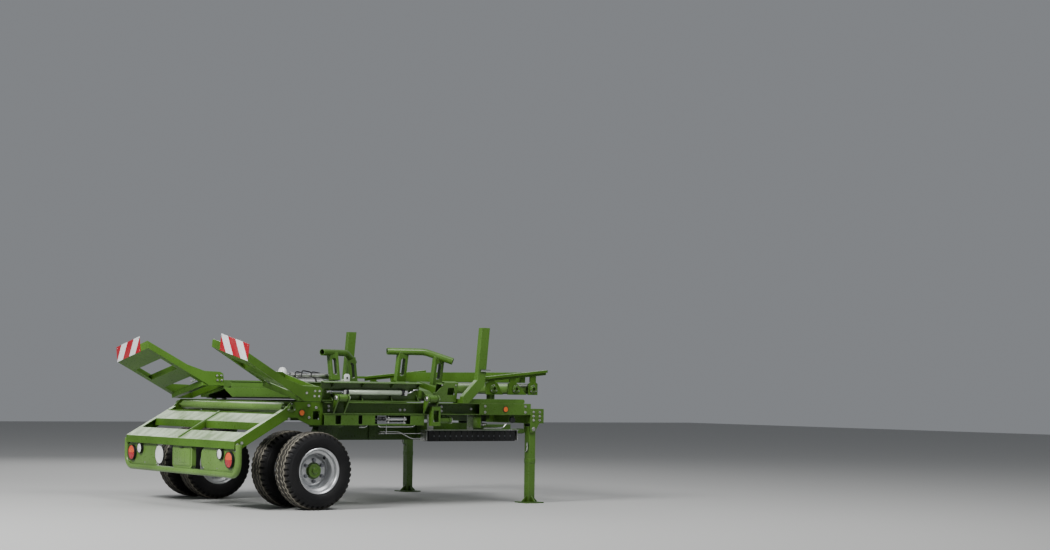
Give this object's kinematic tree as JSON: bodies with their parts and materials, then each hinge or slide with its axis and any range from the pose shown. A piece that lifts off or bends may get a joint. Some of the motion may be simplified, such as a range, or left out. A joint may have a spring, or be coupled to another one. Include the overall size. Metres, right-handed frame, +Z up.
{
  "type": "bale accumulator",
  "caption": "Towed bale accumulator folded for the road: deck, tail ramp, folding side platforms, infeed rollers, twin castor wheels and a telescopic drawbar.",
  "frame": {"origin": "on the ground, at the middle of the outer box seen from above", "axes": "+X to the machine's right, +Y forward to the drawbar, +Z up"},
  "size_m": [2.945, 4.3058, 1.828],
  "materials": {
    "green_paint": "gloss machine enamel, worn pale on the sliding faces",
    "tyre_rubber": "matt ribbed implement tyre",
    "rim_silver": "silver wheel lacquer",
    "red_lens": "moulded ribbed lens",
    "orange_lens": "moulded ribbed lens",
    "white_lens": "clear lens in a black mount",
    "white_sheet": "plain white enamel",
    "board_sheet": "red and white reflecting stripes",
    "black_plastic": "moulded nylon links",
    "zinc_steel": "bright zinc plate",
    "cylinder_steel": "honed and plated"
  },
  "bodies": {
    "root": {"bale_deck": "green_paint", "bumper": "green_paint", "centre_ramp": "green_paint", "chain_tray": "zinc_steel", "coupling_beam": "green_paint", "cross_members": "green_paint", "drag_chain": "black_plastic", "drawbar_housing": "green_paint", "hinge_lugs": "green_paint", "infeed_frame": "green_paint", "lamp_panels": "green_paint", "lower_channels": "green_paint", "marker_lamps": "white_lens", "round_sign": "white_sheet", "side_beams": "green_paint", "side_reflectors": "orange_lens", "tail_box": "green_paint", "tail_lamps": "red_lens", "tall_posts": "green_paint", "turn_lamps": "orange_lens", "turntables": "green_paint", "valve_block": "cylinder_steel"},
    "fold_left": {"bale_guide_left": "green_paint", "fold_pipe_left": "zinc_steel", "oil_stores": "zinc_steel", "platform_left": "green_paint", "side_ramp_left": "green_paint", "warning_board_left": "board_sheet"},
    "fold_right": {"bale_guide_right": "green_paint", "fold_pipe_right": "zinc_steel", "platform_right": "green_paint", "side_ramp_right": "green_paint", "warning_board_right": "board_sheet"},
    "castor_left": {"castor_leg_left": "green_paint"},
    "castor_right": {"castor_leg_right": "green_paint"},
    "drawbar_slide_body": {"drawbar": "green_paint"},
    "wheels_left": {"hub_left": "green_paint", "rim_inner_left": "rim_silver", "rim_outer_left": "rim_silver", "tyre_inner_left": "tyre_rubber", "tyre_outer_left": "tyre_rubber"},
    "wheels_right": {"hub_right": "green_paint", "rim_inner_right": "rim_silver", "rim_outer_right": "rim_silver", "tyre_inner_right": "tyre_rubber", "tyre_outer_right": "tyre_rubber"},
    "infeed_roll_1": {"infeed_roller_1": "green_paint"},
    "infeed_roll_2": {"infeed_roller_2": "green_paint"},
    "infeed_roll_3": {"infeed_roller_3": "green_paint"},
    "parking_leg_left": {"parking_leg_left": "green_paint"},
    "parking_leg_right": {"parking_leg_right": "green_paint"},
    "rear_roll": {"rear_roller": "green_paint"}
  },
  "joints": [
    {"name": "castor_turn_right", "type": "hinge", "parent": "root", "child": "castor_right", "pos_m": [1.036, -1.047, 0.8], "axis": [0, 0, 1], "range_deg": [-25, 25]},
    {"name": "wheels_spin_right", "type": "hinge", "parent": "castor_right", "child": "wheels_right", "pos_m": [1.036, -1.327, 0.38], "axis": [1, 0, 0], "continuous": true},
    {"name": "platform_fold_right", "type": "hinge", "parent": "root", "child": "fold_right", "pos_m": [1.3, -0.527, 1.091], "axis": [0, 1, 0], "range_deg": [0, 169]},
    {"name": "leg_fold_right", "type": "hinge", "parent": "root", "child": "parking_leg_right", "pos_m": [1.18, 1.365, 0.782], "axis": [-1, 0, 0], "range_deg": [0, 90]},
    {"name": "castor_turn_left", "type": "hinge", "parent": "root", "child": "castor_left", "pos_m": [-1.036, -1.047, 0.8], "axis": [0, 0, 1], "range_deg": [-25, 25]},
    {"name": "wheels_spin_left", "type": "hinge", "parent": "castor_left", "child": "wheels_left", "pos_m": [-1.036, -1.327, 0.38], "axis": [1, 0, 0], "continuous": true},
    {"name": "platform_fold_left", "type": "hinge", "parent": "root", "child": "fold_left", "pos_m": [-1.3, -0.527, 1.091], "axis": [0, -1, 0], "range_deg": [0, 169]},
    {"name": "leg_fold_left", "type": "hinge", "parent": "root", "child": "parking_leg_left", "pos_m": [-1.18, 1.365, 0.782], "axis": [-1, 0, 0], "range_deg": [0, 90]},
    {"name": "drawbar_slide", "type": "slide", "parent": "root", "child": "drawbar_slide_body", "axis": [0, 1, 0], "range_m": [0, 0.9]},
    {"name": "rear_roller_spin", "type": "hinge", "parent": "root", "child": "rear_roll", "pos_m": [0, -1.541, 0.99], "axis": [1, 0, 0], "continuous": true},
    {"name": "infeed_roller_spin_1", "type": "hinge", "parent": "root", "child": "infeed_roll_1", "pos_m": [0, 0.887, 1.202], "axis": [1, 0, 0], "continuous": true},
    {"name": "infeed_roller_spin_2", "type": "hinge", "parent": "root", "child": "infeed_roll_2", "pos_m": [0, 1.177, 1.202], "axis": [1, 0, 0], "continuous": true},
    {"name": "infeed_roller_spin_3", "type": "hinge", "parent": "root", "child": "infeed_roll_3", "pos_m": [0, 1.403, 1.202], "axis": [1, 0, 0], "continuous": true}
  ]
}
